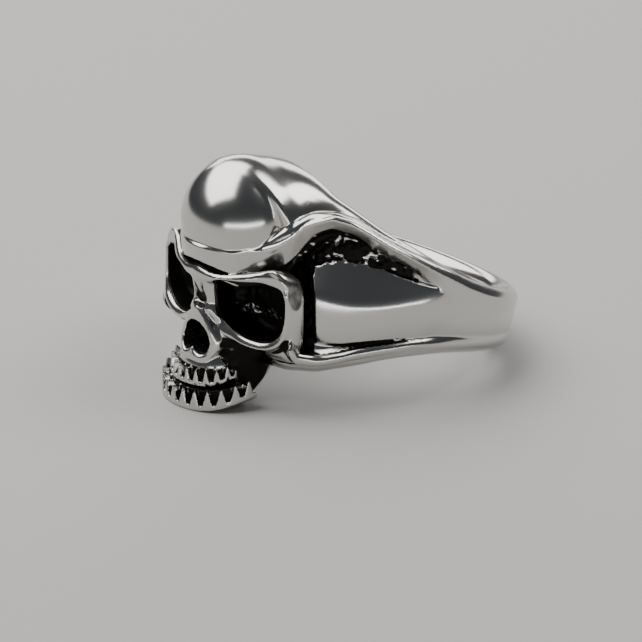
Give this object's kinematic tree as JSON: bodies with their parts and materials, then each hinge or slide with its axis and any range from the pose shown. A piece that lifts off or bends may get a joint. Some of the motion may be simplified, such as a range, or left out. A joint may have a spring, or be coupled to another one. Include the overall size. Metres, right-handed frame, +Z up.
{
  "type": "skull ring",
  "caption": "Finger ring cast in one piece: a domed skull with open eye sockets, nose and two rows of teeth, on a shank that widens into swept strands.",
  "frame": {"origin": "middle of the ring's footprint, on the table that it rests on", "axes": "the face looks along -Y and the shank's back lies towards +Y; +X is the skull's left side; +Z is up"},
  "size_m": [0.0244, 0.0288, 0.0183],
  "materials": {
    "polished_steel": "polished, blackened in its hollows"
  },
  "bodies": {
    "root": {"skull_ring": "polished_steel"}
  },
  "joints": []
}
